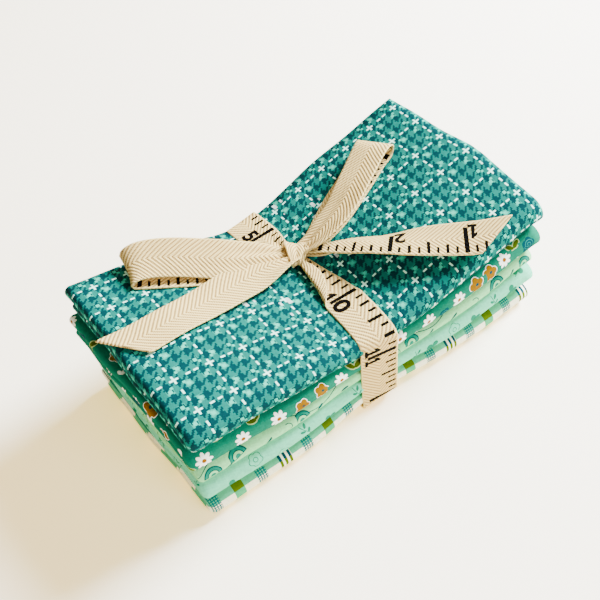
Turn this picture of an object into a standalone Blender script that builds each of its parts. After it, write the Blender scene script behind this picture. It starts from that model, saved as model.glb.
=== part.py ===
"""A bundle of five folded quilting cottons, tied with a printed cotton tape.

Metres. +X runs along the bundle, -Y is the front with the rolled folds,
+Z is up and the floor is at zero.
"""

import math

import bpy
import numpy as np
from mathutils import Matrix
from mathutils.bvhtree import BVHTree

# Driving dimensions, in millimetres.
TAPE_X_FRONT = -2.7
TAPE_X_BACK = -4.7
TAPE_WIDTH = 14.0
TAPE_THICK = 1.0
CLEAR = 0.35
LIFT_MIDDLE = 2.8
LIFT_REACH = 44.0
LIFT_X = -3.5

# The stack's height along the bundle: place, height.
HEIGHT_ALONG = (
    (-78.0, 55.4),
    (-56.0, 50.9),
    (-44.0, 47.7),
    (-31.0, 44.2),
    (-19.0, 40.6),
    (-9.5, 38.4),
    (-3.5, 38.0),
    (3.5, 38.3),
    (19.0, 41.2),
    (31.0, 44.8),
    (44.0, 48.2),
    (56.0, 51.4),
    (78.0, 56.0),
)

# Each cloth, from the floor up: name, share of the height, left and right end,
# front edge at the left and right, back edge at the left and right, how far
# the front is pulled in at the tape, the back corner's reach past the left end.
CLOTHS = (
    ("cloth_plaid", 0.208, -75.2, 69.8, -34.8, -42.4, 37.6, 35.8, 1.9, 0.4),
    ("cloth_sprig", 0.212, -75.6, 70.6, -34.9, -42.0, 37.8, 37.0, 1.6, -0.6),
    ("cloth_vine", 0.168, -75.2, 69.6, -34.2, -41.0, 37.6, 37.4, 1.2, 0.5),
    ("cloth_meadow", 0.197, -75.9, 70.8, -34.9, -41.6, 38.8, 37.2, 1.5, 1.4),
    ("cloth_check", 0.215, -74.6, 72.8, -35.4, -40.6, 40.2, 38.8, 0.9, -0.5),
)
PASS_SHARE_TAPE = 0.2
PASS_SHARE_END = 0.152
GAP_TAPE = 0.36
GAP_END = 0.75
STATIONS = (0.0, 0.1, 0.2, 0.3, 0.385, 0.455, 0.515, 0.59, 0.68, 0.79, 0.9, 1.0)
STEPS_PASS = 4
STEPS_OUTER = 7
STEPS_INNER = 4

COLOURS = {
    "cloth_plaid": (0.62, 0.8, 0.66),
    "cloth_sprig": (0.4, 0.74, 0.56),
    "cloth_vine": (0.52, 0.8, 0.56),
    "cloth_meadow": (0.05, 0.45, 0.33),
    "cloth_check": (0.02, 0.36, 0.36),
    "tape": (0.87, 0.76, 0.55),
}


def smooth(t):
    t = min(1.0, max(0.0, t))
    return t * t * (3 - 2 * t)


def interp(table, x):
    xs = [row[0] for row in table]
    zs = [row[1] for row in table]
    return float(np.interp(x, xs, zs))


def lift(x):
    """How far the underside is drawn up from the floor."""
    t = min(1.0, abs(x - LIFT_X) / LIFT_REACH)
    return LIFT_MIDDLE * math.cos(math.pi / 2 * t) ** 2


def crown(x, y):
    """The share of the height that is left near the front and back edges."""
    side = -x / 70 * 0.05 if x < 0 else x / 70 * 0.11
    front = smooth((-y - 2) / 40) * side
    back = smooth((y - 8) / 34) * (0.03 - 0.012 * abs(x) / 70)
    return 1 - front - back


def slabs(x):
    """The bottom and thickness of each cloth's slab in the stack at x."""
    near = smooth(1 - abs(x - TAPE_X_FRONT) / 60)
    gap = GAP_END + (GAP_TAPE - GAP_END) * near
    total = interp(HEIGHT_ALONG, x) - lift(x) - gap * (len(CLOTHS) - 1)
    out, z = [], 0.0
    for row in CLOTHS:
        out.append((z, row[1] * total))
        z += row[1] * total + gap
    return out


def place_z(x, y, stack_z):
    return lift(x) + stack_z * crown(x, y)


def arc(cy, cz, r, a0, a1, steps):
    return [
        (cy + r * math.cos(a0 + (a1 - a0) * k / steps), cz + r * math.sin(a0 + (a1 - a0) * k / steps))
        for k in range(1, steps)
    ]


def line(a, b, steps):
    return [(a[0] + (b[0] - a[0]) * k / steps, a[1] + (b[1] - a[1]) * k / steps) for k in range(steps + 1)]


def ribbon(path, t):
    """The closed outline of a ribbon of thickness t along a path."""
    p = np.array(path)
    d = np.gradient(p, axis=0)
    d[1:-1] = p[2:] - p[:-2]
    d[0], d[-1] = p[1] - p[0], p[-1] - p[-2]
    d /= np.linalg.norm(d, axis=1)[:, None]
    n = np.stack([-d[:, 1], d[:, 0]], 1)
    left, right = p + n * t / 2, p - n * t / 2
    return np.concatenate([left, right[::-1]])


def cloth_section(front, back, thick, pass_share):
    """One back-and-forth section: top pass, front roll, bottom pass, back fold,
    third pass, inner front fold and second pass."""
    t = thick * pass_share
    g = (thick - 4 * t) / 3
    z4 = t / 2
    z3, z2, z1 = z4 + (t + g), z4 + 2 * (t + g), z4 + 3 * (t + g)
    outer, inner = (z1 - z4) / 2, (t + g) / 2
    mid = (z1 + z4) / 2
    fold_y = front + outer + t / 2
    back_y = back - inner - t / 2
    half = math.pi / 2
    path = line((back - 0.6, z1), (fold_y, z1), STEPS_PASS)
    path += arc(fold_y, mid, outer, half, half + math.pi, STEPS_OUTER)
    path += line((fold_y, z4), (back_y, z4), STEPS_PASS)
    path += arc(back_y, (z3 + z4) / 2, inner, -half, half, STEPS_INNER)
    path += line((back_y, z3), (fold_y, z3), STEPS_PASS)
    path += arc(fold_y, mid, inner, -half, -half - math.pi, STEPS_INNER)
    path += line((fold_y, z2), (back - 1.6, z2), STEPS_PASS)
    return ribbon(path, t)


def add_object(name, verts, faces):
    mesh = bpy.data.meshes.new(name)
    mesh.from_pydata([tuple(v) for v in verts], [], faces)
    mesh.update()
    obj = bpy.data.objects.new(name, mesh)
    bpy.context.scene.collection.objects.link(obj)
    return obj


def paint(obj, name):
    mat = bpy.data.materials.new(name)
    mat.use_nodes = True
    shader = mat.node_tree.nodes["Principled BSDF"]
    shader.inputs["Base Color"].default_value = (*COLOURS[name], 1.0)
    shader.inputs["Roughness"].default_value = 0.9
    shader.inputs["Metallic"].default_value = 0.0
    obj.data.materials.append(mat)


def loft(name, rings):
    """A closed solid through rings of the same number of points."""
    n = len(rings[0])
    verts = [v for ring in rings for v in ring]
    faces = []
    for k in range(len(rings) - 1):
        for i in range(n):
            j = (i + 1) % n
            faces.append((k * n + i, k * n + j, (k + 1) * n + j, (k + 1) * n + i))
    half = n // 2
    last = (len(rings) - 1) * n
    for i in range(half - 1):
        a, b, c, d = i, i + 1, n - 2 - i, n - 1 - i
        faces.append((a, d, c, b))
        faces.append((last + a, last + b, last + c, last + d))
    return add_object(name, np.array(verts) / 1000, faces)


def make_cloth(index):
    name, share, x0, x1, f0, f1, b0, b1, pull, corner = CLOTHS[index]
    rings = []
    for s in STATIONS:
        x = x0 + (x1 - x0) * s
        near = smooth(1 - abs(x - TAPE_X_FRONT) / 34)
        at_tape = smooth(1 - abs(x - TAPE_X_FRONT) / 60)
        bottom, thick = slabs(x)[index]
        front = f0 + (f1 - f0) * s + pull * near
        back = b0 + (b1 - b0) * s - 1.2 * near
        share_now = PASS_SHARE_END + (PASS_SHARE_TAPE - PASS_SHARE_END) * at_tape
        ring = []
        for y, z in cloth_section(front, back, thick, share_now):
            reach = corner * (1 - s) ** 3 * (y + 38) / 76
            px = x - reach
            ring.append((px, y, place_z(x, y, bottom + z)))
        rings.append(ring)
    obj = loft(name, rings)
    paint(obj, name)
    return obj


def top_z(tree, x, y):
    """The top of the stack, read off the top cloth; past its edge, off its edge."""
    hit = tree.ray_cast((x / 1000, y / 1000, 0.2), (0, 0, -1))[0]
    if hit is not None:
        return hit.z * 1000
    bottom, thick = slabs(x)[-1]
    return place_z(x, y, bottom + thick)


def top_under(tree, x, y, across):
    """The top of the stack under a strip, the highest over its width."""
    half = TAPE_WIDTH / 2 + 0.4
    found = []
    for k in (-1.0, -0.5, 0.0, 0.5, 1.0):
        px, py = x + across[0] * half * k, y + across[1] * half * k
        found.append(top_z(tree, max(-78, min(78, px)), max(-42, min(42, py))))
    return max(found)


def strip(name, centres, acrosses, widths, thick, cut=0.0, closed=False):
    """A flat strip along centres, each with its across direction and width."""
    c = np.array(centres, float)
    w = np.array(acrosses, float)
    w /= np.linalg.norm(w, axis=1)[:, None]
    d = np.zeros_like(c)
    if closed:
        d = np.roll(c, -1, 0) - np.roll(c, 1, 0)
    else:
        d[1:-1] = c[2:] - c[:-2]
        d[0], d[-1] = c[1] - c[0], c[-1] - c[-2]
    d /= np.linalg.norm(d, axis=1)[:, None]
    w -= (w * d).sum(1)[:, None] * d
    w /= np.linalg.norm(w, axis=1)[:, None]
    n = np.cross(d, w)
    slide = np.zeros(len(c))
    slide[-1] = cut
    rings = []
    for k in range(len(c)):
        half = widths[k] / 2
        a, b = c[k] + w[k] * half + d[k] * slide[k], c[k] - w[k] * half - d[k] * slide[k]
        up = n[k] * thick / 2
        rings.append([a + up, b + up, b - up, a - up])
    verts = np.array([v for ring in rings for v in ring]) / 1000
    faces, count = [], len(rings)
    for k in range(count if closed else count - 1):
        m = (k + 1) % count
        for i in range(4):
            j = (i + 1) % 4
            faces.append((k * 4 + i, m * 4 + i, m * 4 + j, k * 4 + j))
    if not closed:
        last = (count - 1) * 4
        faces.append((0, 1, 2, 3))
        faces.append((last + 3, last + 2, last + 1, last))
    return add_object(name, verts, faces)


def drawn_in(distance):
    """The tape's width at a distance from the knot, which gathers it."""
    return TAPE_WIDTH * (KNOT_WIDTH_SHARE + (1 - KNOT_WIDTH_SHARE) * smooth((abs(distance) - 3) / 15))


def fix_normals(obj):
    """Turn the faces outward by the sign of the volume."""
    mesh = obj.data
    volume = 0.0
    for p in mesh.polygons:
        v = [mesh.vertices[i].co for i in p.vertices]
        for k in range(1, len(v) - 1):
            volume += v[0].dot(v[k].cross(v[k + 1])) / 6
    if volume < 0:
        mesh.flip_normals()
    return obj


def band_centres(tree):
    """The tape's way round the stack, drawn taut over the rolls."""
    off = CLEAR + TAPE_THICK / 2
    x = (TAPE_X_FRONT + TAPE_X_BACK) / 2
    rows = slabs(x)
    fronts, backs = [], []
    for i, row in enumerate(CLOTHS):
        s = (x - row[2]) / (row[3] - row[2])
        fronts.append(row[4] + (row[5] - row[4]) * s + row[8])
        backs.append(row[6] + (row[7] - row[6]) * s - 1.2)
    front = min(fronts) - off - 0.35
    back = max(backs) + off + 1.1
    low = lift(TAPE_X_FRONT - TAPE_WIDTH / 2 - 1.2) - off - 0.02
    round_r, back_r = 3.4, 1.3
    pts = []
    tops = [(y, top_under(tree, x, y, (1, 0)) + off + 0.15) for y in np.linspace(back - back_r, front + round_r, 8)]
    pts += tops
    zt = tops[-1][1]
    pts += [(front + round_r * (1 - math.sin(a)), zt - round_r * (1 - math.cos(a))) for a in (0.52, 1.05, 1.5)]
    r2 = 2.6
    for f in (0.3, 0.5, 0.7):
        pts.append((front, zt + (low + r2 - zt) * f))
    pts += [(front + r2 * (1 - math.cos(a)), low + r2 * (1 - math.sin(a))) for a in (0.1, 0.6, 1.1)]
    for y in np.linspace(front + r2, back - r2, 5):
        pts.append((y, low))
    pts += [(back - r2 * (1 - math.sin(a)), low + r2 * (1 - math.cos(a))) for a in (0.5, 1.0, 1.5)]
    zb = tops[0][1]
    for f in (0.25, 0.5, 0.75):
        pts.append((back, low + (zb - low) * f))
    pts += [(back - back_r * (1 - math.cos(a)), zb - back_r * (1 - math.sin(a))) for a in (0.1, 0.8)]
    out = []
    for y, z in pts:
        s = (y - front) / (back - front)
        out.append((TAPE_X_FRONT + (TAPE_X_BACK - TAPE_X_FRONT) * s, y, z))
    return out


# The bow. Knot place, the loops' directions and reach, and the tails' ends.
KNOT = (-2.6, 7.2)
KNOT_SIZE = (6.8, 5.4, 3.9)
KNOT_WIDTH_SHARE = 0.6
LEFT_LOOP = {"towards": (-0.915, 0.405), "reach": 57.0, "high": 7.0, "bow": 4.6}
RIGHT_LOOP = {"towards": (0.973, 0.232), "reach": 52.5, "high": 8.6, "bow": -0.8}
LEFT_TAIL = {"end": (-71.4, 5.2), "rise": 0.3, "cut": 7.0, "start_high": 0.0}
RIGHT_TAIL = {"end": (47.2, -41.0), "rise": 4.6, "cut": -6.0, "start_high": 2.9}


def loop_centres(tree, spec):
    """A loop of the bow: the upper pass out, the end bend and the lower pass in."""
    d = np.array(spec["towards"])
    d /= np.linalg.norm(d)
    w = np.array((d[1], -d[0]))
    reach, high = spec["reach"], spec["high"]
    pts, first = [], CLEAR + TAPE_THICK / 2 + 1.6
    rows = []
    for f in (0.0, 0.1, 0.24, 0.42, 0.62, 0.8, 0.92):
        s = 3.0 + (reach - 3.0) * f
        rows.append((s, 3.4 + (high - 3.4) * math.sin(min(1.0, f / 0.75) * math.pi / 2)))
    bend = high / 2
    for a in (0.35, 0.8, 1.25, 1.75, 2.3, 2.8):
        rows.append((reach - bend + bend * math.sin(a) + 0.6, bend + bend * math.cos(a)))
    for f in (0.86, 0.66, 0.44, 0.24, 0.06):
        s = 3.0 + (reach - 3.0) * f
        rows.append((s, 0.0 if f > 0.4 else 1.2 * (1 - f / 0.4)))
    for s, h in rows:
        p = np.array(KNOT) + d * s + w * spec["bow"] * math.sin(math.pi * s / reach)
        z = top_under(tree, p[0], p[1], w) + CLEAR + TAPE_THICK / 2 + h
        if h < 1.3:
            z = max(z, top_under(tree, *KNOT, (1, 0)) + first + 1.0 if s < 12 else z)
        pts.append((p[0], p[1], z))
    return pts, [(*w, 0.0)] * len(pts), [drawn_in(row[0]) for row in rows]


def tail_centres(tree, spec, steps):
    a, b = np.array(KNOT), np.array(spec["end"])
    d = (b - a) / np.linalg.norm(b - a)
    w = np.array((d[1], -d[0]))
    pts = []
    for k in range(steps + 1):
        f = k / steps
        p = a + (b - a) * f
        z = top_under(tree, p[0], p[1], w) + CLEAR + TAPE_THICK / 2
        z += spec["start_high"] * (1 - smooth(f / 0.34)) + spec["rise"] * smooth((f - 0.25) / 0.75)
        if f < 0.16:
            z = max(z, top_under(tree, *KNOT, (1, 0)) + CLEAR + 1.5 * TAPE_THICK)
        pts.append((p[0], p[1], z))
    widths = [drawn_in(np.linalg.norm(b - a) * k / steps) for k in range(steps + 1)]
    return pts, [(*w, 0.0)] * len(pts), widths


def knot(tree):
    """The wrap at the middle of the bow."""
    zc = top_under(tree, *KNOT, (1, 0)) + CLEAR + TAPE_THICK + 2.6
    turn = math.radians(52)
    rings, segments = 7, 14
    verts, faces = [], []
    for i in range(1, rings):
        a = math.pi * i / rings
        for j in range(segments):
            b = 2 * math.pi * j / segments
            r = math.sin(a) ** 0.7
            u = KNOT_SIZE[0] * r * math.copysign(abs(math.cos(b)) ** 0.75, math.cos(b))
            v = KNOT_SIZE[1] * r * math.copysign(abs(math.sin(b)) ** 0.75, math.sin(b))
            h = KNOT_SIZE[2] * math.copysign(abs(math.cos(a)) ** 0.8, math.cos(a))
            x = KNOT[0] + u * math.cos(turn) - v * math.sin(turn)
            y = KNOT[1] + u * math.sin(turn) + v * math.cos(turn)
            verts.append((x, y, max(zc + h, zc - 2.6 + 0.15 - TAPE_THICK / 2)))
    top, bottom = len(verts), len(verts) + 1
    verts += [(KNOT[0], KNOT[1], zc + KNOT_SIZE[2]), (KNOT[0], KNOT[1], zc - 2.6 + 0.1 - TAPE_THICK / 2)]
    for i in range(rings - 2):
        for j in range(segments):
            k = (j + 1) % segments
            faces.append((i * segments + j, (i + 1) * segments + j, (i + 1) * segments + k, i * segments + k))
    for j in range(segments):
        k = (j + 1) % segments
        last = (rings - 2) * segments
        faces.append((top, j, k))
        faces.append((bottom, last + k, last + j))
    return add_object("knot_form", np.array(verts) / 1000, faces)


def make_tape(top_cloth):
    mesh = top_cloth.data
    tree = BVHTree.FromPolygons([v.co for v in mesh.vertices], [tuple(p.vertices) for p in mesh.polygons])
    centres = band_centres(tree)
    middle = top_z(tree, *KNOT)
    widths = [drawn_in(c[1] - KNOT[1]) if c[2] > middle - 1 else TAPE_WIDTH for c in centres]
    band = fix_normals(strip("tape", centres, [(1, 0, 0)] * len(centres), widths, TAPE_THICK, closed=True))
    forms = [fix_normals(knot(tree))]
    for label, spec in (("left", LEFT_LOOP), ("right", RIGHT_LOOP)):
        pts, across, widths = loop_centres(tree, spec)
        forms.append(fix_normals(strip(f"loop_form_{label}", pts, across, widths, TAPE_THICK)))
    for label, spec, steps in (("left", LEFT_TAIL, 10), ("right", RIGHT_TAIL, 9)):
        pts, across, widths = tail_centres(tree, spec, steps)
        forms.append(fix_normals(strip(f"tail_form_{label}", pts, across, widths, TAPE_THICK, cut=spec["cut"])))
    for form in forms:
        form.hide_render = True
        form.display_type = "WIRE"
        join = band.modifiers.new(form.name, "BOOLEAN")
        join.operation = "UNION"
        join.solver = "EXACT"
        join.object = form
    paint(band, "tape")
    return band


for old in list(bpy.data.objects):
    bpy.data.objects.remove(old, do_unlink=True)
cloths = [fix_normals(make_cloth(number)) for number in range(len(CLOTHS))]
make_tape(cloths[-1])

# The origin goes under the middle of the whole bundle's box.
meshes = [obj.data for obj in bpy.data.objects]
points = np.array([tuple(v.co) for mesh in meshes for v in mesh.vertices])
middle_x, middle_y = (points.min(0) + points.max(0))[:2] / 2
for mesh in meshes:
    mesh.transform(Matrix.Translation((-middle_x, -middle_y, 0)))
    mesh.shade_smooth()
    mesh.set_sharp_from_angle(angle=math.radians(35))
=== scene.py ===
import math
import random

import bmesh
import bpy
import numpy as np
from mathutils import Matrix, Vector
from mathutils.bvhtree import BVHTree
from mathutils.kdtree import KDTree


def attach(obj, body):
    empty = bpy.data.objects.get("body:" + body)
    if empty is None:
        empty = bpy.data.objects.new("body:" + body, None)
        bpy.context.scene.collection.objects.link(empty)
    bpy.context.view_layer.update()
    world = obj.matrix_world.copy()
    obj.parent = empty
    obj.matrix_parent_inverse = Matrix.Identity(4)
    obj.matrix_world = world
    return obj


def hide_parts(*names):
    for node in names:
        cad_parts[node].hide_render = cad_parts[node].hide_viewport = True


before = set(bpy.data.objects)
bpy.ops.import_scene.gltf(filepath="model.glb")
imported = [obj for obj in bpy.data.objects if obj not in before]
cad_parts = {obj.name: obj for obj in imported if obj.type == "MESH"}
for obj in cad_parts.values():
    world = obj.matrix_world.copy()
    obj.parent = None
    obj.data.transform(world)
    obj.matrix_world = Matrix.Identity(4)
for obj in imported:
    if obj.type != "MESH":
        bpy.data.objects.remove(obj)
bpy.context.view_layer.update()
mm = 0.001
inch = 25.4

# The bundle's own sizes in millimetres, the same as its solids.
bundle = {
    "shift": (2.877, 0.745),
    "tapeFrontX": -2.7,
    "tapeBackX": -4.7,
    "tieY": 8.0,
    "lift": 2.8,
    "liftReach": 44.0,
    "liftX": -3.5,
    "gapTape": 0.36,
    "gapEnd": 0.75,
    "droopLeft": 0.05,
    "droopRight": 0.11,
}
# x along the bundle and its height there
heightAlong = (
    (-78.0, 55.4),
    (-56.0, 50.9),
    (-44.0, 47.7),
    (-31.0, 44.2),
    (-19.0, 40.6),
    (-9.5, 38.4),
    (-3.5, 38.0),
    (3.5, 38.3),
    (19.0, 41.2),
    (31.0, 44.8),
    (44.0, 48.2),
    (56.0, 51.4),
    (78.0, 56.0),
)

# From the floor up. Each has its share of the height, the x of its ends, the y of
# its front and back at both ends, how far the tape pulls it in, how far its left
# corner is swept, the wave of its front roll and a seed for its own unevenness.
# bandAt is the place on the front roll where the plaid goes from one band to the next.
cloths = {
    "cloth_plaid": {
        "share": 0.208,
        "ends": (-75.2, 69.8),
        "front": (-34.8, -42.4),
        "back": (37.6, 35.8),
        "pull": 1.9,
        "corner": 0.4,
        "wave": 0.35,
        "seed": 3,
        "bandAt": 0.33,
    },
    "cloth_sprig": {
        "share": 0.212,
        "ends": (-75.6, 70.6),
        "front": (-34.9, -42.0),
        "back": (37.8, 37.0),
        "pull": 1.6,
        "corner": -0.6,
        "wave": 0.45,
        "seed": 8,
    },
    "cloth_vine": {
        "share": 0.168,
        "ends": (-75.2, 69.6),
        "front": (-34.2, -41.0),
        "back": (37.6, 37.4),
        "pull": 1.2,
        "corner": 0.5,
        "wave": 0.6,
        "seed": 13,
    },
    "cloth_meadow": {
        "share": 0.197,
        "ends": (-75.9, 70.8),
        "front": (-34.9, -41.6),
        "back": (38.8, 37.2),
        "pull": 1.5,
        "corner": 1.4,
        "wave": 0.5,
        "seed": 21,
    },
    "cloth_check": {
        "share": 0.215,
        "ends": (-74.6, 72.8),
        "front": (-35.4, -40.6),
        "back": (40.2, 38.8),
        "pull": 0.9,
        "corner": -0.5,
        "wave": 0.4,
        "seed": 34,
    },
}
clothNames = list(cloths)


def smooth(t):
    t = np.clip(t, 0.0, 1.0)
    return t * t * (3 - 2 * t)


def stackHeight(x):
    # the table's height, with its corners softened
    xs, zs = np.array(heightAlong).T
    total = 0.0
    for offset in (-5.0, -2.5, 0.0, 2.5, 5.0):
        total = total + 0.2 * np.interp(np.asarray(x) + offset, xs, zs)
    return total


def lift(x):
    t = np.minimum(1.0, np.abs(x - bundle["liftX"]) / bundle["liftReach"])
    return bundle["lift"] * np.cos(math.pi / 2 * t) ** 2


def crown(x, y):
    # the stack droops a little to its front and back
    side = np.where(x < 0, -x / 70 * bundle["droopLeft"], x / 70 * bundle["droopRight"])
    front = smooth((-y - 2) / 40) * side
    back = smooth((y - 8) / 34) * (0.03 - 0.012 * np.abs(x) / 70)
    return 1 - front - back


def slab(index, x):
    # a cloth's underside and its thickness
    near = smooth(1 - np.abs(x - bundle["tapeFrontX"]) / 60)
    gap = bundle["gapEnd"] + (bundle["gapTape"] - bundle["gapEnd"]) * near
    total = stackHeight(x) - lift(x) - gap * (len(cloths) - 1)
    low = 0.0
    for name in clothNames[:index]:
        low = low + cloths[name]["share"] * total + gap
    return low, cloths[clothNames[index]]["share"] * total


def ripple(x, y):
    # soft unevenness that the whole stack shares, so the cloths stay apart
    broad = 0.42 * np.sin(x / 13 + 0.7) * np.sin(y / 17 + 1.1)
    return broad + 0.3 * np.sin(x / 7.9 - y / 11 + 2.0) + 0.16 * np.sin(x / 4.6 + y / 6.1)


def pucker(x, y):
    # shallow creases that fan out from the tie
    dx, dy = x - bundle["tapeFrontX"], y - bundle["tieY"]
    reach, turn = np.hypot(dx, dy), np.arctan2(dy, dx)
    fan = 0.42 * np.sin(turn * 9 + 0.7 * np.sin(reach / 8))
    return fan * smooth((reach - 9) / 9) * smooth((50 - reach) / 26)


def placeZ(x, y, stackZ):
    away = smooth((np.abs(x - bundle["tapeFrontX"]) - 6) / 14)
    return lift(x) + stackZ * crown(x, y) + (ripple(x, y) + pucker(x, y)) * away * smooth(stackZ / 40)


def toRow(points):
    # from the bundle's millimetres to the frame's metres
    points = np.array(points, float)
    points[..., 0] += bundle["shift"][0]
    points[..., 1] += bundle["shift"][1]
    return points * mm


def addGrid(bm, points, uv):
    # one grid of faces; points and uv run over its rows and columns
    rows, columns = points.shape[:2]
    printLayer = bm.loops.layers.uv["print"]
    made = bmesh.ops.create_grid(bm, x_segments=columns - 1, y_segments=rows - 1, size=1.0)["verts"]
    where = {}
    for v in made:
        where[v] = (round((v.co.y + 1) / 2 * (rows - 1)), round((v.co.x + 1) / 2 * (columns - 1)))
    faces = [face for face in bm.faces if face.verts[0] in where]
    for v, place in where.items():
        v.co = points[place]
    for face in faces:
        for loop in face.loops:
            loop[printLayer].uv = uv[where[loop.vert]]
    return faces


def meshPiece(name, bm):
    mesh = bpy.data.meshes.new(name)
    bm.to_mesh(mesh)
    bm.free()
    piece = bpy.data.objects.new(name, mesh)
    bpy.context.scene.collection.objects.link(piece)
    return piece


# the kinds that a print scatters, and the motifs charted along its front roll, each
# as its kind, its x and its share of the way round the roll
motifs = {
    "cloth_meadow": {
        "pitch": 8.4,
        "kinds": (1, 2, 3, 1, 4, 2, 1, 5, 4),
        "front": (
            ((1, -71.3, 0.42), (1, -58.1, 0.45), (1, -44.9, 0.45), (2, -36.8, 0.5), (2, -28.6, 0.42))
            + ((1, -19.4, 0.5), (1, 6.4, 0.42), (1, 18.4, 0.5), (5, 25.0, 0.62), (1, 32.0, 0.45))
            + ((2, 40.2, 0.4), (2, 46.4, 0.35), (3, -65.2, 0.12), (3, -51.4, 0.15), (3, -13.0, 0.3))
            + ((3, 59.2, 0.2), (5, 65.0, 0.4), (1, 53.0, 0.3), (4, -64.4, 0.72), (4, -51.6, 0.75))
            + ((4, -24.0, 0.75), (4, 12.4, 0.72), (4, 36.0, 0.74), (4, 59.0, 0.68))
        ),
    },
    "cloth_vine": {
        "pitch": 9.0,
        "kinds": (1, 2, 3, 2),
        "front": (
            ((1, -70.6, 0.52), (2, -64.6, 0.6), (1, -60.7, 0.4), (2, -50.0, 0.55), (3, -43.6, 0.45))
            + ((1, -37.9, 0.5), (2, -29.0, 0.5), (2, -19.3, 0.5), (3, 4.0, 0.5), (1, 10.2, 0.45))
            + ((2, 20.0, 0.55), (2, 30.2, 0.5), (3, 40.0, 0.5), (1, 50.8, 0.48), (2, 58.6, 0.5))
            + ((1, 64.5, 0.5),)
        ),
    },
    "cloth_sprig": {
        "pitch": 9.6,
        "kinds": (1, 2, 3),
        "front": (
            ((1, -65.5, 0.6), (2, -57.0, 0.3), (2, -46.7, 0.62), (3, -36.0, 0.4), (1, -25.7, 0.6))
            + ((3, -14.0, 0.45), (3, 13.3, 0.62), (1, 20.1, 0.55), (2, 31.0, 0.4), (1, 40.6, 0.55))
            + ((3, 49.4, 0.45), (1, 58.5, 0.5))
        ),
    },
}


def chartMotifs(name, bm, rollPlace, span):
    # puts the nearest motif's own coordinates on each face, in the motif layer
    spec = motifs[name]
    rng = random.Random(cloths[name]["seed"] * 7 + 1)
    placed = []
    for kind, x, share in spec["front"]:
        placed.append((rollPlace(x, share), kind, rng.uniform(-0.5, 0.5), rng.uniform(0.92, 1.05)))
    charted = [entry[0] for entry in placed]
    (lowU, lowV), (highU, highV) = span
    pitch = spec["pitch"]
    k = 0
    v = lowV
    while v < highV:
        u = lowU + (pitch / 2 if k % 2 else 0)
        while u < highU:
            place = (u + rng.uniform(-0.22, 0.22) * pitch, v + rng.uniform(-0.22, 0.22) * pitch)
            kind = spec["kinds"][rng.randrange(len(spec["kinds"]))]
            if min(math.hypot(place[0] - other[0], place[1] - other[1]) for other in charted) > pitch * 0.82:
                placed.append((place, kind, rng.uniform(-math.pi, math.pi), rng.uniform(0.85, 1.05)))
            u += pitch
        v += pitch
        k += 1
    tree = KDTree(len(placed))
    for number, entry in enumerate(placed):
        tree.insert((entry[0][0], entry[0][1], 0), number)
    tree.balance()
    flat = bm.loops.layers.uv["print"]
    local = bm.loops.layers.uv.new("motif")
    kindLayer = bm.faces.layers.float.new("motifKind")
    for face in bm.faces:
        middle = [sum(loop[flat].uv[axis] for loop in face.loops) / len(face.loops) / mm for axis in (0, 1)]
        number = tree.find((middle[0], middle[1], 0))[1]
        place, kind, turn, size = placed[number]
        face[kindLayer] = kind
        c, s = math.cos(turn) / size, math.sin(turn) / size
        for loop in face.loops:
            dx, dy = loop[flat].uv[0] / mm - place[0], place[1] - loop[flat].uv[1] / mm
            loop[local].uv = ((dx * c + dy * s) * mm, (-dx * s + dy * c) * mm)


# Shader maths, written as sums. A Sum wraps one socket or number in a node tree.
class Sum:
    def __init__(self, tree, value):
        self.tree, self.value = tree, value

    def join(self, operation, *others):
        node = self.tree.nodes.new("ShaderNodeMath")
        node.operation = operation
        for socket, other in zip(node.inputs, (self, *others)):
            other = other.value if isinstance(other, Sum) else other
            if isinstance(other, (int, float)):
                socket.default_value = other
            else:
                self.tree.links.new(other, socket)
        return Sum(self.tree, node.outputs[0])

    def __add__(self, other):
        return self.join("ADD", other)

    def __sub__(self, other):
        return self.join("SUBTRACT", other)

    def __mul__(self, other):
        return self.join("MULTIPLY", other)

    def __truediv__(self, other):
        return self.join("DIVIDE", other)

    def __mod__(self, other):
        return self.join("FLOORED_MODULO", other)

    def __lt__(self, other):
        return self.join("LESS_THAN", other)

    def __gt__(self, other):
        return self.join("GREATER_THAN", other)

    def bound(self):
        return self.join("MAXIMUM", 0.0).join("MINIMUM", 1.0)

    def flip(self):
        return Sum(self.tree, 1.0).join("SUBTRACT", self)

    def band(self, middle, half):
        return (self - middle).join("ABSOLUTE") < half

    def soft(self, low, high):
        node = self.tree.nodes.new("ShaderNodeMapRange")
        node.interpolation_type = "SMOOTHSTEP"
        self.tree.links.new(self.value, node.inputs["Value"])
        node.inputs["From Min"].default_value, node.inputs["From Max"].default_value = low, high
        return Sum(self.tree, node.outputs["Result"])


def newGroup(name, outputs, inputs=()):
    tree = bpy.data.node_groups.new(name, "ShaderNodeTree")
    for label, kind, default in inputs:
        socket = tree.interface.new_socket(name=label, in_out="INPUT", socket_type=kind)
        socket.default_value = default
    for label, kind in outputs:
        tree.interface.new_socket(name=label, in_out="OUTPUT", socket_type=kind)
    return tree, tree.nodes.new("NodeGroupInput"), tree.nodes.new("NodeGroupOutput")


def uvOf(tree, layer):
    # a UV layer's two ways, in millimetres
    node = tree.nodes.new("ShaderNodeUVMap")
    node.uv_map = layer
    parts = tree.nodes.new("ShaderNodeSeparateXYZ")
    tree.links.new(node.outputs[0], parts.inputs[0])
    return Sum(tree, parts.outputs[0]) * (1 / mm), Sum(tree, parts.outputs[1]) * (1 / mm)


def noiseOf(tree, scale, detail):
    node = tree.nodes.new("ShaderNodeTexNoise")
    node.inputs["Scale"].default_value = scale
    node.inputs["Detail"].default_value = detail
    tree.links.new(tree.nodes.new("ShaderNodeTexCoord").outputs["Object"], node.inputs["Vector"])
    return Sum(tree, node.outputs["Fac"])


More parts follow.
